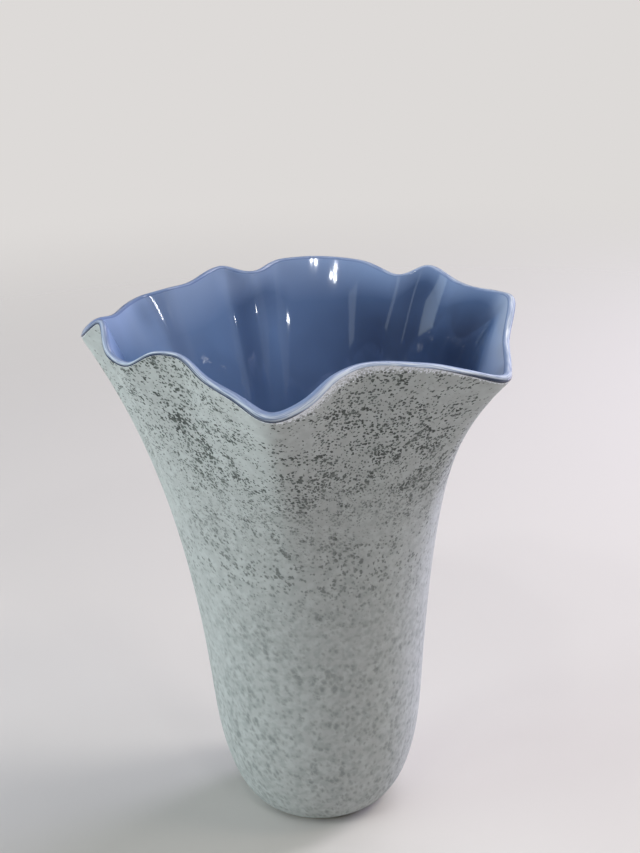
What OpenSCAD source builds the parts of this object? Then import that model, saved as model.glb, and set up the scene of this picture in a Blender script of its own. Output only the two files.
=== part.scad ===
// Ceramic vase with a ruffled mouth: a fired clay wall with a matt speckled coat outside,
// a gloss glaze inside and a glazed lip. The flat foot stands on Z = 0, and -Y is the front.

/* [Body] */
// Height of the lip above the table, before the ruffle
vase_h = 240; // [200:1:300]
// Radius that the straight sides would have at the table
side_r = 45.7; // [40:0.1:55]
// How much the straight sides widen from the table up to the lip
side_widening = 15.4; // [5:0.1:25]
// How far the mouth flares out beyond the straight sides
flare_out = 34.6; // [15:0.1:45]
// How suddenly the mouth flares, higher for a shorter flare
flare_power = 3.8; // [3:0.1:6]

/* [Base] */
// Height of the rounded corner at the bottom of the sides
corner_h = 60; // [30:1:80]
// Radius that the rounded corner would have at the table
corner_foot_r = 23.2; // [15:0.1:30]
// Roundness of the corner, 2 for an ellipse and higher for a squarer one
corner_power = 2.4; // [2:0.1:3]
// Height of the flat foot under the body
foot_h = 1.5; // [1:0.1:3]
// Bare ledge between the edge of the foot and the edge of the coat
foot_ledge = 3; // [2:0.1:6]

/* [Ruffle] */
// Reach of the ruffle, out from the plain mouth or in from it
ruffle_out = 12; // [2:0.5:15]
// Rise of the ruffle, up from the plain lip or down from it
ruffle_rise = 12; // [2:0.5:15]
// Share of the height below which the wall is not ruffled
ruffle_start_share = 0.35; // [0.3:0.01:0.7]
// How quickly the ruffle fades downward
ruffle_power = 3; // [1.5:0.1:4]
// How far the ruffled wall leans toward -X at most, two thirds of the way up to the lip
sway = 0.9; // [0:0.1:3]

/* [Wall] */
// Thickness of the wall below the lip, with the coat and the glaze on it
wall_t = 4.6; // [4:0.1:7]
// Thickness of the lip where it neither reaches out nor draws in
lip_t = 3.9; // [3.4:0.1:6]
// How much thicker the lip is where it reaches out by the whole of ruffle_out
lip_swell = 1.2; // [0:0.1:1.5]
// Height below the lip over which the wall takes on the thickness of the lip
lip_taper = 25; // [10:1:40]
// Thickness of the outer coat and of the glaze
coat_t = 0.6; // [0.5:0.05:1]

/* [Hidden] */

// Stations of the lip, counter-clockwise from the front: the angle from +X, the share of
// ruffle_out by which the lip reaches out there, and the share of ruffle_rise by which it rises.
lip_shares = [
    [-97, 0.86, -0.63],   // front lobe, low and hanging outward
    [-88, 0.46, -0.18],
    [-82, -0.14, 0.38],
    [-74, -0.64, 0.50],   // broad fold, front right
    [-57, -0.44, 0.10],
    [-45, -0.14, -0.52],
    [-34, 0.38, -1.14],   // right front lobe
    [-25, 0, -1.20],
    [-11, -0.40, -0.66],  // right fold
    [2, -0.08, 0.26],     // right lobe
    [11, -0.26, 0.12],
    [24, -0.56, -0.08],   // fold, back right
    [35, -0.32, -0.20],
    [49, 0.06, 0.02],     // lobe, back right
    [55.5, -0.60, -0.36], // narrow fold, back right
    [71, 0.14, -0.12],
    [86, 0.34, -0.04],    // broad back lobe
    [96, 0.24, -0.06],
    [105, -0.62, -0.20],  // narrow fold, back left
    [112, 0.24, -0.04],   // lobe, back left
    [129, -0.64, -0.17],
    [135, -0.68, -0.11],  // narrow fold, left
    [141, -0.04, -0.36],  // lobe, left
    [168, -0.74, -0.04],  // fold, left
    [177, -0.40, 0.16],
    [187, -0.06, 0.02],   // left lobe
    [193, -0.26, 0.44],
    [200, -0.60, 1.04],   // fold, front left
    [208, -0.38, 0.18],
    [216, -0.52, 0],      // lobe, front left
    [229, -0.70, 0.74],
    [235, -0.74, 0.80],   // high fold, front left
    [245, -0.34, 0.22],
    [254, 0.26, -0.10],
];
stations = len(lip_shares);
full_turn = 360;
// Half of the arc over which the lip is averaged to soften its turns
lip_softening = 3;

// Columns of the wall round the axis, rows up the corner and the side, and steps over the lip
columns = 80;
corner_rows = 5;
side_rows = 7;
lip_steps = 4;
rows = corner_rows + side_rows;

// Change of height that gives the direction of the wall at the lip
lip_probe = vase_h / 100;
// Angle of the superellipse at which the corner meets the underside
corner_start = acos(pow(1 - foot_h / corner_h, corner_power / 2));

// Smooth curve through one column of lip_shares, level at each lobe and fold
function lap(angle) = angle - full_turn * floor((angle - lip_shares[0][0]) / full_turn);
function station_at(angle) = max([for (k = [0 : stations - 1]) if (lip_shares[k][0] <= angle) k]);
function span(k) = k < stations - 1
    ? lip_shares[k + 1][0] - lip_shares[k][0]
    : lip_shares[0][0] + full_turn - lip_shares[k][0];
function chord(k, column) =
    (lip_shares[(k + 1) % stations][column] - lip_shares[k][column]) / span(k);
function slope(k, column) =
    let (before = chord((k + stations - 1) % stations, column), after = chord(k, column))
    before * after <= 0 ? 0 : 2 * before * after / (before + after);
function curve(angle, column) =
    let (a = lap(angle), k = station_at(a), next = (k + 1) % stations, w = span(k))
    let (t = (a - lip_shares[k][0]) / w, u = 1 - t)
    lip_shares[k][column] * (1 + 2 * t) * u * u + slope(k, column) * w * t * u * u
    + lip_shares[next][column] * (1 + 2 * u) * t * t - slope(next, column) * w * u * t * t;
function softened(angle, column) =
    (curve(angle - lip_softening, column) + 2 * curve(angle - lip_softening / 2, column)
    + 3 * curve(angle, column) + 2 * curve(angle + lip_softening / 2, column)
    + curve(angle + lip_softening, column)) / 9;

// Direction of each column, and the lip's shares of reach and rise there
angles = [for (i = [0 : columns - 1]) lip_shares[0][0] + full_turn * i / columns];
reach_shares = [for (a = angles) softened(a, 1)];
rise_shares = [for (a = angles) softened(a, 2)];

// Heights of the rows on the outer face, before the ruffle
function corner_z(angle) = corner_h * (1 - pow(cos(angle), 2 / corner_power));
heights = [
    for (k = [0 : corner_rows - 1]) corner_z(corner_start + (90 - corner_start) * k / corner_rows),
    for (k = [0 : side_rows]) corner_h + (vase_h - corner_h) * k / side_rows,
];

// Outer radius at a height, before the ruffle
function side_radius(z) =
    side_r + side_widening * z / vase_h + flare_out * pow(z / vase_h, flare_power);
function round_share(z) =
    z >= corner_h ? 1 : pow(1 - pow(1 - z / corner_h, corner_power), 1 / corner_power);
function radius(z) = corner_foot_r + (side_radius(z) - corner_foot_r) * round_share(z);

// Share of the ruffled part of the wall that lies below a height, and the wall's lean there,
// which grows from nothing to sway and is gone again at the lip
lean_peak_share = 4 / 27;
function ruffled_share(z) = max(0, z / vase_h - ruffle_start_share) / (1 - ruffle_start_share);
function lean(z) =
    let (share = ruffled_share(z)) sway * share * share * (1 - share) / lean_peak_share;

// Point of the outer face in column i at a height, with the ruffle fading downward
function outer(i, z) =
    let (k = (i + columns) % columns, fade = pow(ruffled_share(z), ruffle_power))
    let (r = radius(z) + ruffle_out * reach_shares[k] * fade)
    [r * cos(angles[k]) - lean(z), r * sin(angles[k]), z + ruffle_rise * rise_shares[k] * fade];

// Unit vectors square to the outer face and up along it
function unit(v) = v / norm(v);
function upward(i, k) =
    unit(k < rows
        ? outer(i, heights[k + 1]) - outer(i, heights[max(0, k - 1)])
        : outer(i, heights[k]) - outer(i, heights[k] - lip_probe));
function outward(i, k) =
    unit(cross(outer(i + 1, heights[k]) - outer(i - 1, heights[k]), upward(i, k)));

// Rings of points at one depth below the outer face, from the base up
face_points = [for (k = [0 : rows]) [for (i = [0 : columns - 1]) outer(i, heights[k])]];
face_normals = [for (k = [0 : rows]) [for (i = [0 : columns - 1]) outward(i, k)]];
function skin(depth) = face_points - depth * face_normals;

// Thickness of the wall in column i at a height, easing into that of the lip
function thickness(i, z) =
    let (share = max(0, 1 - (vase_h - z) / lip_taper), ease = share * share * (3 - 2 * share))
    wall_t + (lip_t + lip_swell * reach_shares[i] - wall_t) * ease;

// Rings of points at one depth below the inner face, from the floor up
function lining(depth) = [
    for (k = [0 : rows]) [
        for (i = [0 : columns - 1])
            face_points[k][i] - (thickness(i, heights[k]) - depth) * face_normals[k][i]
    ]
];

// Rings of points over the lip at one depth, from the outer face to the inner one
lip_up = [
    for (i = [0 : columns - 1])
        let (n = face_normals[rows][i], t = upward(i, rows)) unit(t - (t * n) * n)
];
function over_lip(depth) = [
    for (k = [0 : lip_steps]) [
        for (i = [0 : columns - 1])
            let (a = 180 * k / lip_steps, r = thickness(i, vase_h) / 2, n = face_normals[rows][i])
            face_points[rows][i] - r * n + (r - depth) * (cos(a) * n + sin(a) * lip_up[i])
    ]
];

// Triangles of the belt from ring a to ring b, clockwise as seen from outside. Every belt is cut
// along the same diagonal, so that two solids that share a face also share its triangles.
function belt(a, b) = [
    for (i = [0 : columns - 1])
        let (j = (i + 1) % columns, p = a * columns, q = b * columns)
        each [[p + i, q + j, p + j], [p + i, q + i, q + j]]
];
function fan(ring, tip) =
    [for (i = [0 : columns - 1]) [tip, ring * columns + i, ring * columns + (i + 1) % columns]];
function turned(triangles) = [for (t = triangles) [t[0], t[2], t[1]]];
function flattened(rings) = [for (ring = rings) each ring];
function centre(ring) = [0, 0, ring[0][2]];

// Closed shell between the rings of its face and those of its back. The two are joined along the
// lip, and at the base either by an edge or, where the shell has a floor, by a fan on each side.
// faces_in says that the face looks in at the axis.
module shell(face, back, has_floor, faces_in = false) {
    last = len(face) - 1;
    first_back = len(face);
    last_back = len(face) + len(back) - 1;
    tip = (last_back + 1) * columns;
    triangles = [
        for (k = [0 : last - 1]) each belt(k, k + 1),
        for (k = [first_back : last_back - 1]) each turned(belt(k, k + 1)),
        each belt(last, last_back),
        if (has_floor) each fan(0, tip),
        if (has_floor) each turned(fan(first_back, tip + 1)),
        if (!has_floor) each belt(first_back, 0),
    ];
    polyhedron(
        points = [
            each flattened(face),
            each flattened(back),
            if (has_floor) each [centre(face[0]), centre(back[0])],
        ],
        faces = faces_in ? turned(triangles) : triangles
    );
}

// Fired clay: the wall with its rounded lip and its floor, and the flat foot under it
module clay_body() {
    under_coat = skin(coat_t);
    under_glaze = lining(coat_t);
    lip = over_lip(coat_t);
    underside_z = under_coat[0][0][2];
    floor_z = under_glaze[0][0][2];
    color("#c3b9a8") {
        shell(
            [each under_coat, for (k = [1 : lip_steps - 1]) lip[k]],
            under_glaze,
            true
        );
        cylinder(h = (underside_z + floor_z) / 2, r = radius(foot_h) - foot_ledge, $fn = columns);
    }
}

// Matt speckled coat on the outside, from the underside up to the lip
module outer_coat() {
    color("#a9b0a8") shell(skin(0), skin(coat_t), false);
}

// Gloss glaze that lines the inside, from the floor up to the lip
module inner_glaze() {
    color("#5a6c9c") shell(lining(0), lining(coat_t), true, faces_in = true);
}

// Gloss glaze over the round of the lip, between the outer coat and the inner glaze
module lip_glaze() {
    color("#7d8dba") shell(over_lip(0), over_lip(coat_t), false);
}

clay_body();
outer_coat();
inner_glaze();
lip_glaze();
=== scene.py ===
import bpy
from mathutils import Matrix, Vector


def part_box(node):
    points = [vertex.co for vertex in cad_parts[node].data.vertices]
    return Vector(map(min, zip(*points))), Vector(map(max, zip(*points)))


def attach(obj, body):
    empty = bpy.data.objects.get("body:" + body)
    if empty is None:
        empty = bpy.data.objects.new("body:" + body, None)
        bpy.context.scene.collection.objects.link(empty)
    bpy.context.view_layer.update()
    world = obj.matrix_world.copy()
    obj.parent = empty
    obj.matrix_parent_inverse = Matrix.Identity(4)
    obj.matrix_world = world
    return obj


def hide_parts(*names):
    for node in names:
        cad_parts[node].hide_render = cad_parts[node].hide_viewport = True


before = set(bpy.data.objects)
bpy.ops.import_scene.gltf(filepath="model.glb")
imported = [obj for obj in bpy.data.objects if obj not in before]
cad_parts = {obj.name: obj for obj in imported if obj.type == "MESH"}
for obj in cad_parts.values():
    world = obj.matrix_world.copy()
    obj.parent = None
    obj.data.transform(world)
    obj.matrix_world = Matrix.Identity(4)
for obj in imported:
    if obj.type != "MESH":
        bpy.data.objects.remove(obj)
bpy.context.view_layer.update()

import math

import bpy
import numpy as np
from mathutils import Matrix, Vector

# Ceramic vase with a ruffled mouth. The foot stands on Z = 0 and -Y is the front. One wall
# formula gives every piece: each is a skin of that wall at its own depth, closed at its back.

mm = 0.001
print("frame loaded:", ", ".join(sorted(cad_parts)))

vase = {
    "height": 240 * mm,          # plain lip above the table
    "sideRadius": 45.7 * mm,     # the straight sides, carried down to the table
    "sideWidening": 15.4 * mm,   # from the table up to the lip
    "flareOut": 34.6 * mm,
    "flarePower": 3.8,
    "cornerHeight": 60 * mm,     # rounded corner at the bottom of the sides
    "cornerFootRadius": 23.2 * mm,
    "cornerPower": 2.4,
    "footHeight": 1.5 * mm,
    "footLedge": 3 * mm,
    "footEdge": 0.5 * mm,        # softening of the foot's own edge
    "floorCurl": 0.25,           # share of the floor's radius over which it turns up into the wall
    "ruffleOut": 12 * mm,
    "ruffleRise": 12 * mm,
    "ruffleStart": 0.35,         # share of the height below which there is no ruffle
    "rufflePower": 3,
    "sway": 0.9 * mm,            # lean toward -X, two thirds of the way up the ruffle
    "wall": 4.6 * mm,
    "lip": 3.9 * mm,             # its thickness midway between lobes and folds
    "lipSwell": 1.2 * mm,        # thicker by this where it reaches out by ruffleOut
    "lipTaper": 25 * mm,         # height over which the wall takes on the lip's thickness
    "coat": 0.6 * mm,            # outer coat and glaze alike
    "lipSoftening": 3,           # degrees each side
}

# Stations of the lip, counter-clockwise from the front: the angle from +X, the share of
# ruffleOut by which the lip reaches out there, and the share of ruffleRise by which it rises.
lipShares = [
    (-97, 0.86, -0.63),    # front lobe, low and hanging outward
    (-88, 0.46, -0.18),
    (-82, -0.14, 0.38),
    (-74, -0.64, 0.50),    # broad fold, front right
    (-57, -0.44, 0.10),
    (-45, -0.14, -0.52),
    (-34, 0.38, -1.14),    # right front lobe
    (-25, 0, -1.20),
    (-11, -0.40, -0.66),   # right fold
    (2, -0.08, 0.26),      # right lobe
    (11, -0.26, 0.12),
    (24, -0.56, -0.08),    # fold, back right
    (35, -0.32, -0.20),
    (49, 0.06, 0.02),      # lobe, back right
    (55.5, -0.60, -0.36),  # narrow fold, back right
    (71, 0.14, -0.12),
    (86, 0.34, -0.04),     # broad back lobe
    (96, 0.24, -0.06),
    (105, -0.62, -0.20),   # narrow fold, back left
    (112, 0.24, -0.04),    # lobe, back left
    (129, -0.64, -0.17),
    (135, -0.68, -0.11),   # narrow fold, left
    (141, -0.04, -0.36),   # lobe, left
    (168, -0.74, -0.04),   # fold, left
    (177, -0.40, 0.16),
    (187, -0.06, 0.02),    # left lobe
    (193, -0.26, 0.44),
    (200, -0.60, 1.04),    # fold, front left
    (208, -0.38, 0.18),
    (216, -0.52, 0),       # lobe, front left
    (229, -0.70, 0.74),
    (235, -0.74, 0.80),    # high fold, front left
    (245, -0.34, 0.22),
    (254, 0.26, -0.10),
]

fineness = {
    "columns": 320,        # round the axis
    "clayColumns": 160,    # the clay hides under its coats
    "cornerRows": 14,
    "sideRows": 46,
    "lipRows": (0.988, 0.994, 1),   # last rows of the side, as shares of it
    "lipSteps": 22,
    "lipCrowding": 1.5,    # above 1, the steps over the lip crowd toward the bead
    "footTurns": (30, 60, 90),
    "floorSteps": 8,
    "coatSteps": 5,        # over the part of the lip's round that the coat covers
    "sharpAngle": 35,
    "mapMargin": 0.02,     # left bare at the ends of the map for the bake
    "hiddenMap": 0.1,      # scale there of a face that lies against the clay
}


def unit(vectors):
    return vectors / np.linalg.norm(vectors, axis=-1, keepdims=True)


def smoothStep(share):
    share = np.clip(share, 0, 1)
    return share * share * (3 - 2 * share)


def lipCurve(angles, column):  # smooth curve through a column of lipShares, level at lobes and folds
    at = np.array([row[0] for row in lipShares], float)
    share = np.array([row[column] for row in lipShares], float)
    span = np.append(np.diff(at), at[0] + 360 - at[-1])
    chord = (np.roll(share, -1) - share) / span
    before = np.roll(chord, 1)
    sameWay = before * chord > 0
    slope = np.where(sameWay, 2 * before * chord / np.where(sameWay, before + chord, 1), 0)
    lap = (angles - at[0]) % 360 + at[0]
    here = np.searchsorted(at, lap, side="right") - 1
    after = (here + 1) % len(at)
    width = span[here]
    t = (lap - at[here]) / width
    u = 1 - t
    return (share[here] * (1 + 2 * t) * u * u + slope[here] * width * t * u * u
            + share[after] * (1 + 2 * u) * t * t - slope[after] * width * u * t * t)


def softened(angles, column):
    weights = {-1: 1, -0.5: 2, 0: 3, 0.5: 2, 1: 1}
    curves = [w * lipCurve(angles + s * vase["lipSoftening"], column) for s, w in weights.items()]
    return sum(curves) / sum(weights.values())


def bodyRadius(z):  # of the plain vase, before the ruffle
    share = z / vase["height"]
    side = (vase["sideRadius"] + vase["sideWidening"] * share
            + vase["flareOut"] * share ** vase["flarePower"])
    low = np.clip(1 - z / vase["cornerHeight"], 0, 1)
    roundShare = (1 - low ** vase["cornerPower"]) ** (1 / vase["cornerPower"])
    return vase["cornerFootRadius"] + (side - vase["cornerFootRadius"]) * roundShare


def outerFace(angles, heights):  # heights are those before the ruffle, which fades downward
    start = vase["ruffleStart"]
    ruffled = np.clip(heights / vase["height"] - start, 0, None) / (1 - start)
    fade = ruffled ** vase["rufflePower"]
    leanPeak = 4 / 27            # greatest value of ruffled squared times what is left above
    lean = vase["sway"] * ruffled ** 2 * (1 - ruffled) / leanPeak
    radius = bodyRadius(heights) + vase["ruffleOut"] * softened(angles, 1) * fade
    rise = vase["ruffleRise"] * softened(angles, 2) * fade
    turn = np.radians(angles)
    return np.stack([radius * np.cos(turn) - lean, radius * np.sin(turn), heights + rise], -1)


sideStep, downStep = 0.01, 0.01 * mm   # degrees and height over which a direction is taken


def wall(angles, heights):  # points of the outer face, the way out of it and the way up it
    points = outerFace(angles, heights)
    around = outerFace(angles + sideStep, heights) - outerFace(angles - sideStep, heights)
    out = unit(np.cross(around, points - outerFace(angles, heights - downStep)))
    return points, out, unit(np.cross(out, around))


def thickness(angles, heights):
    lip = vase["lip"] + vase["lipSwell"] * softened(angles, 1)
    ease = smoothStep(1 - (vase["height"] - heights) / vase["lipTaper"])
    return vase["wall"] + (lip - vase["wall"]) * ease


def innerFace(angles, heights):
    points, out, _ = wall(angles, heights)
    return points - thickness(angles, heights)[..., None] * out


def innerWall(angles, heights):  # points of the inner face and the way in from it
    face = innerFace(angles, heights)
    around = innerFace(angles + sideStep, heights) - innerFace(angles - sideStep, heights)
    return face, unit(np.cross(face - innerFace(angles, heights - downStep), around))


def lipRound(angles, turns, inset=0):  # over the lip, by degrees from the outer face to the inner
    edge, out, up = wall(angles, np.full((1, len(angles)), vase["height"]))
    half = thickness(angles, vase["height"])[:, None] / 2
    turn = np.radians(turns)[..., None]
    way = np.cos(turn) * out + np.sin(turn) * up
    along = np.cos(turn) * up - np.sin(turn) * out
    return edge - half * out + (half - inset) * way, way, along


def anglesOf(columns):
    return lipShares[0][0] + 360 * np.arange(columns) / columns


def cornerHeights():
    power = vase["cornerPower"]
    start = math.acos((1 - vase["footHeight"] / vase["cornerHeight"]) ** (power / 2))
    turn = np.linspace(start, math.pi / 2, fineness["cornerRows"], endpoint=False)
    return vase["cornerHeight"] * (1 - np.cos(turn) ** (2 / power))


def rowHeights(columns):  # from the base up to the lip, closest together under the lip
    share = np.linspace(0, 1, fineness["sideRows"] + 1)
    share = np.append(share[:-1], fineness["lipRows"])
    side = vase["height"] - vase["cornerHeight"]
    rows = np.append(cornerHeights(), vase["cornerHeight"] + side * share)
    return np.repeat(rows[:, None], columns, 1)


# Rings run counter-clockwise seen from above, with the solid on their left. The last ring joins
# the first, unless the shell ends in a tip at both ends. Notes are values for the materials.

def closedShell(name, rings, normals=None, firstTip=None, lastTip=None, shownRings=None, notes=None):
    count, columns = rings.shape[:2]
    points = list(rings.reshape(-1, 3))
    pairs = [(k, k + 1) for k in range(count - 1)] + ([] if firstTip is not None else [(count - 1, 0)])
    steps = np.linalg.norm(np.diff(rings, axis=0), axis=2).mean(1)
    if shownRings is not None:
        shown = np.arange(count - 1) < shownRings - 1
        steps = np.where(shown, steps, steps * fineness["hiddenMap"])
    mapUp = np.append(0, np.cumsum(steps))
    margin = fineness["mapMargin"]
    mapUp = margin + (1 - 2 * margin) * mapUp / mapUp[-1]
    faces, places = [], []
    for low, high in pairs:
        up = mapUp[high] if high else 1
        for i in range(columns):
            j = (i + 1) % columns
            faces.append([low * columns + i, low * columns + j, high * columns + j, high * columns + i])
            left, right = i / columns, (i + 1) / columns
            places += [(left, mapUp[low]), (right, mapUp[low]), (right, up), (left, up)]
    for tip, ring, order, edge in ((firstTip, 0, -1, 0), (lastTip, count - 1, 1, 1)):
        if tip is None:
            continue
        points.append(np.array(tip))
        for i in range(columns):
            pair = [(i, i / columns), ((i + 1) % columns, (i + 1) / columns)][::order]
            faces.append([len(points) - 1] + [ring * columns + k for k, _ in pair])
            places += [((i + 0.5) / columns, edge)] + [(u, mapUp[ring]) for _, u in pair]
    data = bpy.data.meshes.new(name)
    data.from_pydata([tuple(p) for p in points], [], faces)
    data.uv_layers.new(name="OFBake").data.foreach_set("uv", np.array(places, np.float32).ravel())
    data.shade_smooth()
    if normals is None:
        data.set_sharp_from_angle(angle=math.radians(fineness["sharpAngle"]))
    else:
        ends = [(0, 0, -1)] if firstTip is not None else []
        ends += [(0, 0, 1)] if lastTip is not None else []
        data.normals_split_custom_set_from_vertices([tuple(n) for n in normals.reshape(-1, 3)] + ends)
    for note, values in (notes or {}).items():
        kind, field, width = ("FLOAT_VECTOR", "vector", 3) if values.ndim == 3 else ("FLOAT", "value", 1)
        flat = np.append(values.reshape(-1), np.zeros((len(points) - count * columns) * width))
        data.attributes.new(note, kind, "POINT").data.foreach_set(field, flat.astype(np.float32))
    data.validate()
    piece = bpy.data.objects.new(name, data)
    bpy.context.scene.collection.objects.link(piece)
    return piece


def thereAndBack(values):  # values of the face's rings, then the same for the back's
    return np.concatenate([values, values[::-1]])


def fitted(piece, node):  # a hair smaller where the smooth curve would pass the faceted solid's box
    low, high = (np.array(corner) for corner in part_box(node))
    points = np.array([v.co for v in piece.data.vertices])
    return min(1, (high / points.max(0)).min(), (low[:2] / points.min(0)[:2]).min())


def linear(code):  # sRGB hex to the linear colour that a socket takes
    parts = [int(code[i:i + 2], 16) / 255 for i in (1, 3, 5)]
    return (*[c / 12.92 if c <= 0.04045 else ((c + 0.055) / 1.055) ** 2.4 for c in parts], 1)


def addNode(tree, kind, settings=None, links=None):  # a link comes from a socket or a whole node
    node = tree.nodes.new("ShaderNode" + kind)
    for key, value in (settings or {}).items():
        for name, part in zip(key, value) if isinstance(key, tuple) else [(key, value)]:
            if isinstance(name, str) and hasattr(node, name):
                setattr(node, name, part)
            else:
                node.inputs[name].default_value = part
    for key, source in (links or {}).items():
        whole = isinstance(source, bpy.types.Node)
        tree.links.new(source.outputs[0] if whole else source, node.inputs[key])
    return node


fromEnds, toEnds = ("From Min", "From Max"), ("To Min", "To Max")   # each takes a pair of values
softStep = {"interpolation_type": "SMOOTHSTEP"}
colourMix = {"data_type": "RGBA"}   # colours go in at 6 and 7, and the result comes out at 2


def newMaterial(name):
    material = bpy.data.materials.new(name)
    material.use_nodes = True
    tree = material.node_tree
    tree.nodes.clear()
    shader = addNode(tree, "BsdfPrincipled")
    out = addNode(tree, "OutputMaterial", links={"Surface": shader})
    return material, tree, shader, out


# Matt glaze, poured over the outside and speckled with iron: dry to the eye, with no mirror
# glints, and with dark flecks that are crisp near the lip and melt into the glaze lower down

coatLook = {
    "ground": "#b4b9b8",
    "groundPale": "#c0c6c5",
    "fleck": "#3f4643",
    "fleckWorn": "#666e6b",
    "dot": "#7c8685",
    "fringe": "#f2f6fd",
    # Three sorts of fleck from the bottom up: spacing, size and depth of their ragged outline,
    # and where their edge begins and ends
    "flecks": [
        (3.2 * mm, 2.0 * mm, 2.4 * mm, -0.26, 0.38),
        (1.9 * mm, 1.5 * mm, 2.0 * mm, -0.15, 0.18),
        (1.12 * mm, 0.9 * mm, 1.3 * mm, -0.07, 0.08),
    ],
    "fleckTilt": 0.35,           # slope of the flecks on the left, where the glaze ran down
    "fleckStrength": (0.40, 1),  # melted and crisp, as for dotAmount
    "fleckSink": 0.5,
    "leastReach": -0.17,         # sets how large and how many the flecks are overall
    "ownSize": -0.3,             # how much smaller than that a fleck may be
    "crowdingGain": 2,
    "clusterSize": 5 * mm,
    "clusterGain": 0.8,
    "driftSize": 22 * mm,
    "driftGain": 0.5,
    "dotSize": 3.2 * mm,
    "dotEdge": (0.42, 0.70),
    "dotAmount": (0.32, 0.1),
    "mottleSize": 4.5 * mm,
    "wornEdge": (0.45, 0.65),    # where on the mottle the flecks are worn, and the ground is pale
    "paleEdge": (0.56, 0.36),
    "paleAmount": 0.6,
    "grainSize": 0.8 * mm,       # coarser than the real one of about 0.2 mm, so that it shows
    "grainEdge": (0.3, 0.7),
    "grainHeight": 0.04 * mm,
    "crumble": 3,                # how far the grain breaks up the pale fringe
    "crumbleEdge": (1.68, 2.14),
    "crumbleAmount": 0.95,
    "clearEdge": (0.1, 0.6),     # the flecks thin out into the fringe, to clearAmount
    "clearAmount": 0.35,
    "sharpHeight": 215 * mm,     # flecks are crisp above this and melted below softHeight
    "softHeight": 75 * mm,
    "roughness": (0.56, 0.68),
    "ior": 1.5,
}

# Where the flecks crowd or thin out: angle from +X, height, reach, and change of crowding
fleckDrifts = [
    (-132, 234 * mm, 20 * mm, 0.05),
    (-121, 200 * mm, 24 * mm, 0.05),
    (-133, 214 * mm, 18 * mm, 0.04),
    (-104, 184 * mm, 22 * mm, 0.04),
    (-72, 243 * mm, 14 * mm, 0.03),
    (-64, 226 * mm, 20 * mm, 0.02),
    (-72, 202 * mm, 26 * mm, 0.03),
    (-99, 230 * mm, 18 * mm, -0.07),
    (-88, 228 * mm, 12 * mm, -0.03),
    (-78, 224 * mm, 12 * mm, 0.04),
    (-45, 214 * mm, 20 * mm, 0.05),
    (-52, 190 * mm, 24 * mm, 0.03),
    (-38, 232 * mm, 10 * mm, -0.04),
    (-163, 235 * mm, 32 * mm, -0.16),
    (-158, 170 * mm, 30 * mm, -0.06),
    (-137, 125 * mm, 26 * mm, -0.04),
    (-30, 150 * mm, 34 * mm, -0.05),
]

# Run of the two glazes over the lip: angle from +X, width of the dark bead in which the lip glaze
# gathers on the coat, partly painted shade, width of the pale crumbly fringe of the coat below it,
# the turn, in degrees from the outer face to the inner, at which the lip glaze breaks palest, and how
# pale it is there, which is partly painted highlight and also sets the painted light inside beside it
edgeRuns = [
    (-97, 2.6 * mm, 0.5 * mm, 50, 0.9),
    (-88, 0.3 * mm, 6.5 * mm, 42, 1),
    (-79, 0.2 * mm, 6.5 * mm, 44, 1),
    (-70, 0.2 * mm, 3.8 * mm, 45, 1),
    (-57, 0.2 * mm, 2.4 * mm, 55, 1),
    (-48, 1.4 * mm, 1.6 * mm, 60, 1),
    (-39, 3.8 * mm, 0.8 * mm, 80, 1),
    (-25, 2.8 * mm, 0.8 * mm, 90, 1),
    (-10, 1.6 * mm, 1.0 * mm, 100, 1),
    (5, 1.3 * mm, 1.2 * mm, 110, 0.85),
    (15, 1.3 * mm, 1.2 * mm, 112, 0.65),
    (30, 1.2 * mm, 1.2 * mm, 115, 0.6),
    (60, 1.1 * mm, 1.4 * mm, 125, 0.4),
    (90, 1.1 * mm, 1.0 * mm, 125, 0.25),
    (130, 1.1 * mm, 1.0 * mm, 125, 0.1),
    (180, 1.4 * mm, 0.3 * mm, 95, 0.3),
    (208, 1.8 * mm, 0.1 * mm, 60, 0.8),
    (235, 1.7 * mm, 0.2 * mm, 60, 1),
]


def edgeRun(angles, column):
    at, values = [row[0] for row in edgeRuns], [row[column] for row in edgeRuns]
    return np.interp(angles, at, values, period=360)


def patches(points, table):  # soft patches, each adding its change and fading over its reach
    total = 0
    for angle, level, reach, change in table:
        centre = outerFace(np.array([float(angle)]), np.array([[level]]))
        total = total + change * smoothStep(1 - np.linalg.norm(points - centre, axis=2) / reach)
    return total


def coatNotes(points, angles, distance):  # what the coat's material needs to know at each point
    look = coatLook
    turn = np.radians(angles)
    radius = np.full(points.shape[:2], np.linalg.norm(points[..., :2], axis=2).mean())
    x, y = radius * np.cos(turn), radius * np.sin(turn)
    upward = points[..., 2] + look["fleckTilt"] * (x - y) / math.sqrt(2)
    crowding = patches(points, fleckDrifts)
    crispOver = look["sharpHeight"] - look["softHeight"]
    crisp = smoothStep((points[..., 2] - look["softHeight"]) / crispOver)
    fringe = np.clip(1 - distance / edgeRun(angles, 2), -1, 1)
    speckPlace = np.stack([x, y, upward], -1)
    return {"speckPlace": speckPlace, "crowding": crowding, "crisp": crisp, "fringe": fringe}


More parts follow.
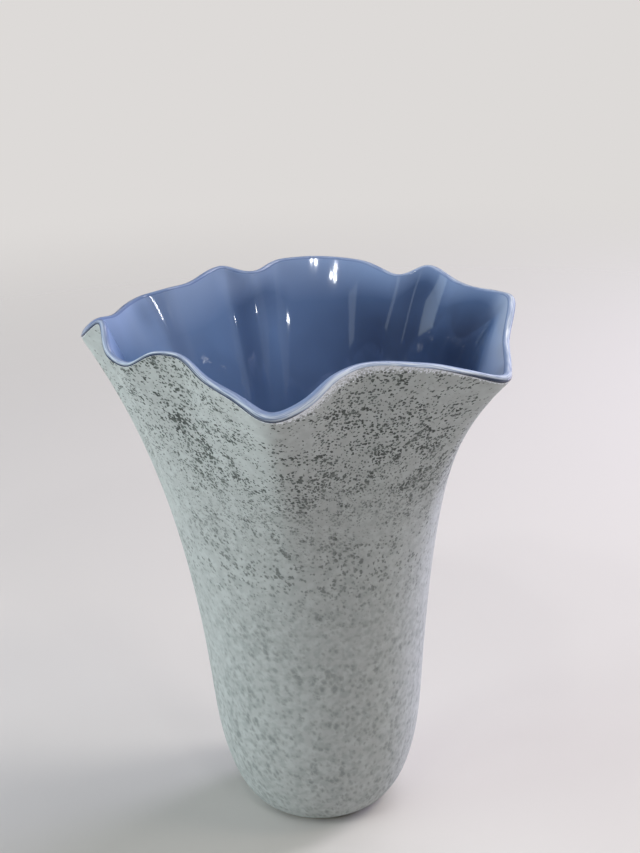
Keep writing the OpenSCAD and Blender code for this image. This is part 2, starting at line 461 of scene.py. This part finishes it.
def speckledMattGlaze():
    look = coatLook
    material, tree, shader, _ = newMaterial("speckledMattGlaze")
    place = addNode(tree, "TexCoord").outputs["Object"]
    speckPlace = addNode(tree, "Attribute", {"attribute_name": "speckPlace"}).outputs["Vector"]
    crowding = addNode(tree, "Attribute", {"attribute_name": "crowding"}).outputs["Fac"]
    crisp = addNode(tree, "Attribute", {"attribute_name": "crisp"}).outputs["Fac"]
    fringe = addNode(tree, "Attribute", {"attribute_name": "fringe"}).outputs["Fac"]
    grain = addNode(tree, "TexNoise", {"Scale": 1 / look["grainSize"], "Detail": 2}, {"Vector": place})
    mottle = addNode(tree, "TexNoise", {"Scale": 1 / look["mottleSize"], "Detail": 2}, {"Vector": place})
    dots = addNode(tree, "TexNoise", {"Scale": 1 / look["dotSize"], "Detail": 1.5}, {"Vector": place})

    # Flecks: ragged drops, each of its own size, that clusters, drifts and crowding make larger
    cluster = addNode(tree, "TexNoise", {"Scale": 1 / look["clusterSize"], "Detail": 1.5},
                      {"Vector": speckPlace})
    drift = addNode(tree, "TexNoise", {"Scale": 1 / look["driftSize"], "Detail": 1}, {"Vector": place})
    reach = addNode(tree, "Math", {"operation": "MULTIPLY_ADD", 1: look["crowdingGain"],
                                   2: look["leastReach"]}, {0: crowding})
    for noise, gain in ((drift, look["driftGain"]), (cluster, look["clusterGain"])):
        reach = addNode(tree, "Math", {"operation": "MULTIPLY_ADD", 1: gain}, {0: noise, 2: reach})
    layers = []
    for spacing, size, depth, *edge in look["flecks"]:
        ragged = addNode(tree, "TexNoise", {"Scale": 1 / size, "Detail": 1}, {"Vector": speckPlace})
        warped = addNode(tree, "VectorMath", {"operation": "MULTIPLY_ADD", 1: (depth,) * 3},
                         {0: ragged.outputs["Color"], 2: speckPlace})
        drops = addNode(tree, "TexVoronoi", {"Scale": 1 / spacing}, {"Vector": warped})
        own = addNode(tree, "SeparateColor", links={"Color": drops.outputs["Color"]}).outputs["Red"]
        inside = addNode(tree, "Math", {"operation": "MULTIPLY_ADD", 1: look["ownSize"]}, {0: own, 2: reach})
        inside = addNode(tree, "Math", {"operation": "SUBTRACT"}, {0: inside, 1: drops.outputs["Distance"]})
        layers.append(addNode(tree, "MapRange", {**softStep, fromEnds: edge}, {"Value": inside}))
    flecks, *above = layers
    for layer, edge in zip(above, ((0, 0.5), (0.5, 1))):
        share = addNode(tree, "MapRange", {fromEnds: edge}, {"Value": crisp})
        flecks = addNode(tree, "Mix", links={0: share, 2: flecks, 3: layer})
    strength = addNode(tree, "MapRange", {toEnds: look["fleckStrength"]}, {"Value": crisp})
    flecks = addNode(tree, "Math", {"operation": "MULTIPLY"}, {0: flecks, 1: strength})
    worn = addNode(tree, "MapRange", {fromEnds: look["wornEdge"]}, {"Value": mottle})
    fleckColour = addNode(tree, "Mix", {**colourMix, 6: linear(look["fleck"]), 7: linear(look["fleckWorn"])},
                          {0: worn}).outputs[2]

    # Ground with a pale mottle, and low on the body soft dots that run together
    pale = addNode(tree, "MapRange", {**softStep, fromEnds: look["paleEdge"], "To Max": look["paleAmount"]},
                   {"Value": mottle})
    colour = addNode(tree, "Mix", {**colourMix, 6: linear(look["ground"]), 7: linear(look["groundPale"])},
                     {0: pale}).outputs[2]
    dotAmount = addNode(tree, "MapRange", {toEnds: look["dotAmount"]}, {"Value": crisp})
    dark = addNode(tree, "MapRange", {**softStep, fromEnds: look["dotEdge"]}, {"Value": dots})
    dark = addNode(tree, "Math", {"operation": "MULTIPLY"}, {0: dark, 1: dotAmount})
    colour = addNode(tree, "Mix", {**colourMix, 7: linear(look["dot"])}, {0: dark, 6: colour}).outputs[2]

    # Pale fringe where the coat runs out under the lip glaze, crumbled by the grain, with few flecks
    crumble = addNode(tree, "Math", {"operation": "MULTIPLY_ADD", 1: look["crumble"]}, {0: grain, 2: fringe})
    crumble = addNode(tree, "MapRange", {**softStep, fromEnds: look["crumbleEdge"],
                                         "To Max": look["crumbleAmount"]}, {"Value": crumble})
    colour = addNode(tree, "Mix", {**colourMix, 7: linear(look["fringe"])},
                     {0: crumble, 6: colour}).outputs[2]
    kept = addNode(tree, "MapRange", {**softStep, fromEnds: look["clearEdge"],
                                      toEnds: (1, look["clearAmount"])}, {"Value": fringe})
    flecks = addNode(tree, "Math", {"operation": "MULTIPLY"}, {0: flecks, 1: kept})
    colour = addNode(tree, "Mix", colourMix, {0: flecks, 6: colour, 7: fleckColour}).outputs[2]
    tree.links.new(colour, shader.inputs["Base Color"])

    # Relief: a fine dry grain with the flecks slightly sunk
    relief = addNode(tree, "Math", {"operation": "MULTIPLY_ADD", 1: -look["fleckSink"]},
                     {0: flecks, 2: grain})
    bump = addNode(tree, "Bump", {"Strength": 1, "Distance": look["grainHeight"]}, {"Height": relief})
    tree.links.new(bump.outputs[0], shader.inputs["Normal"])
    dry = addNode(tree, "MapRange", {fromEnds: look["grainEdge"], toEnds: look["roughness"]},
                  {"Value": grain})
    tree.links.new(dry.outputs[0], shader.inputs["Roughness"])
    shader.inputs["IOR"].default_value = look["ior"]
    return material


# Transparent blue glaze, fired glossy over the inside: wet and mirror-like, deeper blue lower down
# and paler where it runs thin near the lip. Painted shade and painted light darken and lighten set
# patches of the wall, and painted light makes it palest beside the pale stretches of the lip

insideLook = {
    "deep": "#324162",
    "blue": "#6681ad",
    "thin": "#9bb0d6",
    "paleAndLit": "#c2d0ea",         # beside the lip, where that is pale: thin glaze and painted light
    "deepeningHeights": (225 * mm, 60 * mm),   # darker deeper down, from the one down to the other
    "deepeningMost": 0.6,
    "thinReach": 22 * mm,
    "thinMost": 0.75,
    "palestReach": 12 * mm,
    "palestRuns": (0.7, 1),      # paleness of the lip beside it, from edgeRuns
    "cloudSize": 38 * mm,
    "cloudEdge": (0.35, 0.65),
    "cloudAmount": (-0.12, 0.12),
    "rippleSize": 17 * mm,
    "rippleHeight": 0.10 * mm,
    "roughness": 0.07,
    "ior": 1.52,
}

# Painted shade, or painted light where the change is below 0, on the inside wall: angle from +X, height,
# reach, change
paintedShadeAndLight = [
    (47, 204 * mm, 52 * mm, 0.50),
    (46, 232 * mm, 20 * mm, 0.45),
    (10, 212 * mm, 44 * mm, 0.55),
    (16, 224 * mm, 36 * mm, 0.55),
    (150, 224 * mm, 40 * mm, -0.30),
    (147, 234 * mm, 18 * mm, 0.45),
    (62, 212 * mm, 34 * mm, 0.25),
    (195, 222 * mm, 36 * mm, 0.45),
    (108.5, 236 * mm, 15 * mm, -0.60),
    (103, 229 * mm, 18 * mm, 0.50),
    (-8, 236 * mm, 20 * mm, -1.10),
    (-22, 231 * mm, 26 * mm, -1.00),
]


def blueGlossGlaze():
    look = insideLook
    material, tree, shader, _ = newMaterial("blueGlossGlaze")
    place = addNode(tree, "TexCoord").outputs["Object"]
    height = addNode(tree, "SeparateXYZ", links={0: place}).outputs["Z"]
    fromLip = addNode(tree, "Attribute", {"attribute_name": "fromLip"}).outputs["Fac"]
    # Painted shade and painted light on set patches of the inside wall
    pooling = addNode(tree, "Attribute", {"attribute_name": "pooling"}).outputs["Fac"]
    paleness = addNode(tree, "Attribute", {"attribute_name": "paleness"}).outputs["Fac"]
    cloud = addNode(tree, "TexNoise", {"Scale": 1 / look["cloudSize"], "Detail": 2}, {"Vector": place})
    # Deeper blue lower down; the painted shade and light of the patches are added to it
    deepeningAndPaintedShading = addNode(tree, "MapRange", {**softStep, fromEnds: look["deepeningHeights"], "To Max": look["deepeningMost"]},
                   {"Value": height})
    deepeningAndPaintedShading = addNode(tree, "Math", {"operation": "ADD"}, {0: deepeningAndPaintedShading, 1: pooling})
    # Random cloud of thicker and thinner glaze, added to the deepening and the painted shade and light
    thick = addNode(tree, "MapRange", {fromEnds: look["cloudEdge"], toEnds: look["cloudAmount"]},
                    {"Value": cloud})
    thick = addNode(tree, "Math", {"operation": "ADD", "use_clamp": True}, {0: deepeningAndPaintedShading, 1: thick})
    colour = addNode(tree, "Mix", {**colourMix, 6: linear(look["blue"]), 7: linear(look["deep"])},
                     {0: thick}).outputs[2]
    thin = addNode(tree, "MapRange", {fromEnds: (look["thinReach"], 0), "To Max": look["thinMost"]},
                   {"Value": fromLip})
    # Painted light from the patches also makes the glaze paler near the lip
    thin = addNode(tree, "Math", {"operation": "SUBTRACT", "use_clamp": True}, {0: thin, 1: pooling})
    colour = addNode(tree, "Mix", {**colourMix, 7: linear(look["thin"])}, {0: thin, 6: colour}).outputs[2]
    # Painted light: palest within palestReach of the lip, beside the pale stretches of the lip
    paleAndLit = addNode(tree, "MapRange", {fromEnds: (look["palestReach"], 0)}, {"Value": fromLip})
    whitening = addNode(tree, "MapRange", {**softStep, fromEnds: look["palestRuns"]}, {"Value": paleness})
    paleAndLit = addNode(tree, "Math", {"operation": "MULTIPLY"}, {0: paleAndLit, 1: whitening})
    colour = addNode(tree, "Mix", {**colourMix, 7: linear(look["paleAndLit"])}, {0: paleAndLit, 6: colour}).outputs[2]
    tree.links.new(colour, shader.inputs["Base Color"])
    ripple = addNode(tree, "TexNoise", {"Scale": 1 / look["rippleSize"], "Detail": 0}, {"Vector": place})
    bump = addNode(tree, "Bump", {"Strength": 1, "Distance": look["rippleHeight"]}, {"Height": ripple})
    tree.links.new(bump.outputs[0], shader.inputs["Normal"])
    shader.inputs["Roughness"].default_value = look["roughness"]
    shader.inputs["IOR"].default_value = look["ior"]
    return material


# The same glaze, thin over the rim so that the pale clay shines through: glossy and light blue,
# streaked along the lip, with a dark bead where it gathers on the edge of the matt coat. The pale
# band and its palest streaks are partly painted highlight, and the bead is partly painted shade

lipLook = {
    "thick": "#6c82ae",
    "thin": "#b0c0de",
    "break": "#e2ecf8",          # palest, where the glaze breaks thin over the lip: partly painted highlight
    # Dark bead: glaze gathered on the coat's edge, and painted shade under the lip's round
    "bead": "#29354d",
    "streakLength": 9 * mm,
    "streakWidth": 0.5 * mm,
    "streakHeight": 0.03 * mm,
    "streakTurn": 75,            # degrees by which the streaks shift the pale band
    "paleTurns": (100, 62),
    "paleLeast": 0.35,
    "brokenStreaks": (0.58, 0.42),   # the streaks that break palest, and how near the break
    "brokenTurns": (50, 10),
    "beadWobble": 0.6,
    "beadEdge": (0.3, 1.15),
    "roughness": 0.11,
    "ior": 1.52,
}


def lipGlossGlaze():
    look = lipLook
    material, tree, shader, _ = newMaterial("lipGlossGlaze")
    flow = addNode(tree, "Attribute", {"attribute_name": "flow"}).outputs["Vector"]
    intoBead = addNode(tree, "Attribute", {"attribute_name": "intoBead"}).outputs["Fac"]
    fromBreak = addNode(tree, "Attribute", {"attribute_name": "fromBreak"}).outputs["Fac"]
    paleness = addNode(tree, "Attribute", {"attribute_name": "paleness"}).outputs["Fac"]
    streaks = addNode(tree, "TexNoise", {"Scale": 1 / look["streakLength"], "Detail": 3}, {"Vector": flow})
    # Pale band over the lip: thin glaze, and partly painted highlight
    pale = addNode(tree, "Math", {"operation": "MULTIPLY_ADD", 1: look["streakTurn"]},
                   {0: streaks, 2: fromBreak})
    pale = addNode(tree, "MapRange", {**softStep, fromEnds: look["paleTurns"], "To Min": look["paleLeast"]},
                   {"Value": pale})
    pale = addNode(tree, "Math", {"operation": "MULTIPLY"}, {0: pale, 1: paleness})
    colour = addNode(tree, "Mix", {**colourMix, 6: linear(look["thick"]), 7: linear(look["thin"])},
                     {0: pale}).outputs[2]
    # Palest streaks near the break: partly painted highlight
    broken = addNode(tree, "MapRange", {**softStep, fromEnds: look["brokenStreaks"]}, {"Value": streaks})
    near = addNode(tree, "MapRange", {**softStep, fromEnds: look["brokenTurns"]}, {"Value": fromBreak})
    for share in (near, paleness):
        broken = addNode(tree, "Math", {"operation": "MULTIPLY"}, {0: broken, 1: share})
    colour = addNode(tree, "Mix", {**colourMix, 7: linear(look["break"])}, {0: broken, 6: colour}).outputs[2]
    # Dark bead along the coat's edge: partly painted shade
    wobble = addNode(tree, "Math", {"operation": "MULTIPLY_ADD", 1: look["beadWobble"]},
                     {0: streaks, 2: intoBead})
    dark = addNode(tree, "MapRange", {**softStep, fromEnds: look["beadEdge"]}, {"Value": wobble})
    colour = addNode(tree, "Mix", {**colourMix, 7: linear(look["bead"])}, {0: dark, 6: colour}).outputs[2]
    tree.links.new(colour, shader.inputs["Base Color"])
    bump = addNode(tree, "Bump", {"Strength": 1, "Distance": look["streakHeight"]}, {"Height": streaks})
    tree.links.new(bump.outputs[0], shader.inputs["Normal"])
    shader.inputs["Roughness"].default_value = look["roughness"]
    shader.inputs["IOR"].default_value = look["ior"]
    return material


# Bare stoneware, fired and wiped: buff, dry and finely gritty, with a few iron specks

clayLook = {
    "buff": "#c3b9a8",
    "shade": "#ab9f8c",
    "speck": "#6d6252",
    "gritSize": 0.6 * mm,
    "gritHeight": 0.08 * mm,
    "speckEdge": (0.66, 0.72),
    "cloudSize": 14 * mm,
    "shadeEdge": (0.35, 0.65),
    "roughness": 0.9,
}


def firedStoneware():
    look = clayLook
    material, tree, shader, _ = newMaterial("firedStoneware")
    place = addNode(tree, "TexCoord").outputs["Object"]
    grit = addNode(tree, "TexNoise", {"Scale": 1 / look["gritSize"], "Detail": 3}, {"Vector": place})
    cloud = addNode(tree, "TexNoise", {"Scale": 1 / look["cloudSize"], "Detail": 2}, {"Vector": place})
    shade = addNode(tree, "MapRange", {**softStep, fromEnds: look["shadeEdge"]}, {"Value": cloud})
    colour = addNode(tree, "Mix", {**colourMix, 6: linear(look["buff"]), 7: linear(look["shade"])},
                     {0: shade}).outputs[2]
    specks = addNode(tree, "MapRange", {**softStep, fromEnds: look["speckEdge"]}, {"Value": grit})
    colour = addNode(tree, "Mix", {**colourMix, 7: linear(look["speck"])}, {0: specks, 6: colour}).outputs[2]
    tree.links.new(colour, shader.inputs["Base Color"])
    bump = addNode(tree, "Bump", {"Strength": 1, "Distance": look["gritHeight"]}, {"Height": grit})
    tree.links.new(bump.outputs[0], shader.inputs["Normal"])
    shader.inputs["Roughness"].default_value = look["roughness"]
    return material


# Edge of the coat under the lip, and the edge of the lip glaze that meets it

coatEdge = {
    "turn": 18,                # degrees up the lip's round at which the coat ends
    "wander": 7,               # how far that varies, as a dipped edge does
    "waves": [(5, 0.5, 1), (11, 0.35, 2.2), (23, 0.15, 0)],   # count round the lip, share, phase
    "sink": 0.22 * mm,         # how far the coat dips to pass under the bead of lip glaze
    "dip": 2.5 * mm,
    "beadRound": 0.5 * mm,
    "beadSteep": 10,           # greatest slope that the round of the bead is shaded with
}


def coatTurn(angles):
    turn = np.radians(angles)
    waves = sum(share * np.sin(count * turn + phase) for count, share, phase in coatEdge["waves"])
    return coatEdge["turn"] + coatEdge["wander"] * waves


def innerSkin(angles):  # floor from the middle outward, then the wall up to the lip
    face, ways = innerWall(angles, rowHeights(len(angles)))
    base, lean = face[0], ways[0]
    spread = np.linalg.norm(base[:, :2], axis=1)
    radial = base * (1, 1, 0) / spread[:, None]
    steep = -(lean * radial).sum(1) / lean[:, 2]
    share = np.linspace(0, 1, fineness["floorSteps"] + 1)[1:-1, None]
    curl = vase["floorCurl"]
    fromEdge = np.clip(1 - share, 0, curl)
    drop = steep * spread * (fromEdge - fromEdge ** 2 / (2 * curl))
    tilt = steep * (1 - fromEdge / curl)
    floor = radial * (spread * share)[..., None] + (base[:, 2] - drop)[..., None] * (0, 0, 1)
    floorOut = unit(np.array((0, 0, 1)) - tilt[..., None] * radial)
    return np.concatenate([floor, face]), np.concatenate([floorOut, ways])


def middleOf(ring):  # the tip that closes a shell at a ring round the axis
    return (0, 0, ring[:, 2].mean())


def fromTop(points):  # distance down the wall from the top ring
    steps = np.linalg.norm(np.diff(points, axis=0), axis=2)
    return np.vstack([np.cumsum(steps[::-1], axis=0)[::-1], np.zeros((1, points.shape[1]))])


def makeOuterCoat():
    angles = anglesOf(fineness["columns"])
    points, out, up = wall(angles, rowHeights(len(angles)))
    over = np.linspace(0, 1, fineness["coatSteps"] + 1)[1:, None]
    overPoints, overOut, overUp = lipRound(angles, over * coatTurn(angles))
    points = np.concatenate([points, overPoints])
    out = np.concatenate([out, overOut])
    up = np.concatenate([up, overUp])
    distance = fromTop(points)
    near = np.clip(1 - distance / coatEdge["dip"], 0, 1)
    slope = coatEdge["sink"] * 6 * near * (1 - near) / coatEdge["dip"]   # that of smoothStep
    face = points - (coatEdge["sink"] * smoothStep(near))[..., None] * out
    back = points - vase["coat"] * out
    notes = {key: thereAndBack(values) for key, values in coatNotes(points, angles, distance).items()}
    piece = closedShell("outerCoat", np.concatenate([face, back[::-1]]),
                        np.concatenate([unit(out + slope[..., None] * up), -out[::-1]]),
                        shownRings=len(face), notes=notes)
    return piece, "outer_coat", "speckled_matt_coat", speckledMattGlaze()


def makeInnerGlaze():
    angles = anglesOf(fineness["columns"])
    face, normals = innerSkin(angles)
    back = face - vase["coat"] * normals
    # The patches give painted shade and painted light on the inside wall
    notes = {"fromLip": fromTop(face), "pooling": patches(face, paintedShadeAndLight),
             "paleness": np.broadcast_to(edgeRun(angles, 4), face.shape[:2])}
    piece = closedShell("innerGlaze", np.concatenate([back, face[::-1]]),
                        np.concatenate([-normals, normals[::-1]]), middleOf(back[0]), middleOf(face[0]),
                        notes={key: thereAndBack(values) for key, values in notes.items()})
    return piece, "inner_glaze", "blue_gloss_glaze", blueGlossGlaze()


def makeLipGlaze():
    angles = anglesOf(fineness["columns"])
    start = coatTurn(angles)
    share = np.linspace(0, 1, fineness["lipSteps"] + 1)[:, None] ** fineness["lipCrowding"]
    turns = start + (180 - start) * share
    points, way, along = lipRound(angles, turns)
    around = lipRound(angles + sideStep, turns)[0] - lipRound(angles - sideStep, turns)[0]
    out = unit(np.cross(around, along))
    run = thickness(angles, vase["height"]) / 2 * np.radians(turns - start)
    near = np.clip(1 - run / coatEdge["beadRound"], 0, 1)
    rise = np.sqrt(1 - near ** 2)
    slope = -coatEdge["sink"] / coatEdge["beadRound"] * near / np.maximum(rise, 1 / coatEdge["beadSteep"])
    face = points - (coatEdge["sink"] * (1 - rise))[..., None] * way
    back = points - vase["coat"] * way
    radius = np.linalg.norm(face[:, :, :2], axis=2).mean()
    turn = np.radians(angles)
    stretch = lipLook["streakLength"] / lipLook["streakWidth"]
    flow = np.stack([np.broadcast_to(radius * np.cos(turn), run.shape),
                     np.broadcast_to(radius * np.sin(turn), run.shape), run * stretch], -1)
    notes = {"intoBead": 1 - run / edgeRun(angles, 1), "fromBreak": abs(turns - edgeRun(angles, 3)),
             "paleness": np.broadcast_to(edgeRun(angles, 4), run.shape), "flow": flow}
    piece = closedShell("lipGlaze", np.concatenate([face, back[::-1]]),
                        np.concatenate([unit(out + slope[..., None] * along), -way[::-1]]),
                        shownRings=len(face), notes={key: thereAndBack(v) for key, v in notes.items()})
    return piece, "lip_glaze", "blue_lip_glaze", lipGlossGlaze()


def makeClayBody():
    angles = anglesOf(fineness["clayColumns"])
    points, out, _ = wall(angles, rowHeights(len(angles)))
    under = points - vase["coat"] * out
    turns = np.linspace(0, 180, fineness["lipSteps"] // 2 + 1)[1:-1, None]
    lip, _, _ = lipRound(angles, turns, vase["coat"])
    glazed, ways = innerSkin(angles)
    inner = glazed - vase["coat"] * ways
    footRadius = bodyRadius(np.array(vase["footHeight"])) - vase["footLedge"]
    softEdge = vase["footEdge"]
    profile = [(footRadius / 2, 0), (footRadius - softEdge, 0)]
    profile += [(footRadius - softEdge * (1 - math.sin(a)), softEdge * (1 - math.cos(a)))
                for a in np.radians(fineness["footTurns"])]
    profile += [(footRadius, under[0, :, 2].mean())]
    turn = np.radians(angles)
    foot = np.array([np.stack([r * np.cos(turn), r * np.sin(turn), np.full(len(turn), z)], -1)
                     for r, z in profile])
    rings = np.concatenate([foot, under, lip, inner[::-1]])
    piece = closedShell("clayBody", rings, None, (0, 0, 0), middleOf(inner[0]))
    return piece, "clay_body", "fired_clay", firedStoneware()


pieces = []
for make in (makeClayBody, makeOuterCoat, makeInnerGlaze, makeLipGlaze):
    piece, node, slot, material = make()
    piece.data.materials.append(material)
    pieces.append((piece, node))
    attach(piece, "root")
    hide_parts(node)
    print("made", piece.name, len(piece.data.polygons), "faces")
fit = min(fitted(piece, node) for piece, node in pieces)
for piece, _ in pieces:
    piece.data.transform(Matrix.Diagonal((fit, fit, fit, 1)))
print("fitted into the solid's box by", round(fit, 5))


# Studio: pale floor, soft lamps and the camera

studio = {
    "floor": "#dddad6",
    "floorRoughness": 0.8,
    "floorSize": 12,
    "sky": "#e9eaee",
    "skyStrength": 0.14,
    "backdrop": "#dddad8",
    "fade": (0.35, 1.3),       # distances at which the floor begins and ends to fade to the backdrop
    "aim": (0, 0, 130 * mm),
}

# Place, width and height of the lamp, power in watts, colour. The lamps light the vase without
# a mirror image in the glaze, which shows the dimmer panes instead.
lamps = {
    "leftWindow": ((-1.5, -0.2, 0.36), 0.9, 0.3, 15.5, "#f0fdff"),
    "rightWindow": ((1.25, 0.9, 0.25), 0.5, 0.3, 22, "#e5e0ff"),
    "rightTop": ((0.95, -0.35, 1.5), 0.4, 0.4, 3.8, "#fff4e6"),
    "sideTop": ((1.2, 0.3, 1.4), 0.4, 0.4, 8, "#fffaf2"),
}
panes = {
    "leftBackPane": ((-1.40, 0.60, 0.73), 0.42, 0.55, 1.0, "#e8f8ff"),
    "frontRightPane": ((1.0, -0.95, 0.95), 1.4, 0.8, 1.0, "#f0f6ff"),
    "frontLeftPane": ((-1.17, -0.73, 1.16), 0.3, 0.6, 0.6, "#e8f4ff"),
    "topPane": ((0.55, 0.4, 1.5), 0.8, 0.8, 8.5, "#faf6ff"),
}
ceiling = {
    "places": [(-0.22, -0.82, 1.58), (-0.61, -0.8, 1.51), (0.45, -1.24, 1.24)],
    "bulbs": 3,                # on each lamp head, a little ring of them
    "bulb": 0.045,
    "apart": 0.05,
    "power": 0.5,
}


def aimed(thing, place, target):
    thing.location = place
    thing.rotation_euler = (Vector(target) - Vector(place)).to_track_quat("-Z", "Y").to_euler()


def areaLamp(name, place, width, height, power, colour, shape="RECTANGLE"):
    light = bpy.data.lights.new(name, "AREA")
    light.shape, light.size, light.size_y = shape, width, height
    light.energy = power
    light.color = linear(colour)[:3]
    lamp = bpy.data.objects.new(name, light)
    bpy.context.scene.collection.objects.link(lamp)
    aimed(lamp, place, studio["aim"])
    return lamp


def paleFloor():  # keeps the shadow near the vase and, to the camera, fades into the backdrop
    material, tree, shader, out = newMaterial("paleFloor")
    shader.inputs["Base Color"].default_value = linear(studio["floor"])
    shader.inputs["Roughness"].default_value = studio["floorRoughness"]
    place = addNode(tree, "TexCoord").outputs["Object"]
    away = addNode(tree, "VectorMath", {"operation": "LENGTH"}, {0: place}).outputs["Value"]
    fade = addNode(tree, "MapRange", {**softStep, fromEnds: studio["fade"]}, {"Value": away})
    seen = addNode(tree, "LightPath").outputs["Is Camera Ray"]
    fade = addNode(tree, "Math", {"operation": "MULTIPLY"}, {0: fade, 1: seen})
    clear = addNode(tree, "BsdfTransparent")
    mixed = addNode(tree, "MixShader", links={0: fade, 1: shader, 2: clear})
    tree.links.new(mixed.outputs[0], out.inputs["Surface"])
    return material


def makeStudio():
    half = studio["floorSize"] / 2
    data = bpy.data.meshes.new("floor")
    corners = [(-half, -half, 0), (half, -half, 0), (half, half, 0), (-half, half, 0)]
    data.from_pydata(corners, [], [(0, 1, 2, 3)])
    floor = bpy.data.objects.new("floor", data)
    bpy.context.scene.collection.objects.link(floor)
    data.materials.append(paleFloor())
    for name, lamp in lamps.items():
        areaLamp(name, *lamp).visible_glossy = False
    for name, pane in panes.items():
        areaLamp(name, *pane)
    for head in ceiling["places"]:
        for k in range(ceiling["bulbs"]):
            angle = math.radians(90 + 360 / ceiling["bulbs"] * k)
            place = Vector(head) + ceiling["apart"] * Vector((math.cos(angle), math.sin(angle), 0))
            areaLamp("bulb", place, ceiling["bulb"], ceiling["bulb"], ceiling["power"], "#ffffff", "DISK")
    world = bpy.data.worlds.new("studioSky")
    bpy.context.scene.world = world
    world.use_nodes = True
    tree = world.node_tree
    tree.nodes.clear()
    shown = addNode(tree, "LightPath").outputs["Is Camera Ray"]
    lit = addNode(tree, "Background", {"Color": linear(studio["sky"]), "Strength": studio["skyStrength"]})
    seen = addNode(tree, "Background", {"Color": linear(studio["backdrop"]), "Strength": 1})
    mixed = addNode(tree, "MixShader", links={0: shown, 1: lit, 2: seen})
    addNode(tree, "OutputWorld", links={"Surface": mixed})


# Camera, in the photograph's place: 1500 pixels of focal length in a frame 853 pixels high
view = {
    "place": (0, -626.04 * mm, 434.81 * mm),
    "pitch": 21.413,           # degrees below the horizon
    "yaw": 0.610,
    "roll": -2.634,
    "focalPixels": 1500,
    "framePixels": 853,
    "sensor": 36,
    "clip": (0.01, 50),
}


def makeCamera():
    data = bpy.data.cameras.new("camera")
    data.sensor_fit = "VERTICAL"
    data.sensor_height = view["sensor"]
    data.lens = view["sensor"] * view["focalPixels"] / view["framePixels"]
    data.clip_start, data.clip_end = view["clip"]
    camera = bpy.data.objects.new("camera", data)
    bpy.context.scene.collection.objects.link(camera)
    bpy.context.scene.camera = camera
    turn = (Matrix.Rotation(math.radians(-view["yaw"]), 4, "Z")
            @ Matrix.Rotation(math.radians(90 - view["pitch"]), 4, "X")
            @ Matrix.Rotation(math.radians(view["roll"]), 4, "Z"))
    camera.matrix_world = Matrix.Translation(view["place"]) @ turn


makeStudio()
makeCamera()
bpy.context.scene.view_settings.view_transform = "Standard"
print("studio and camera ready")
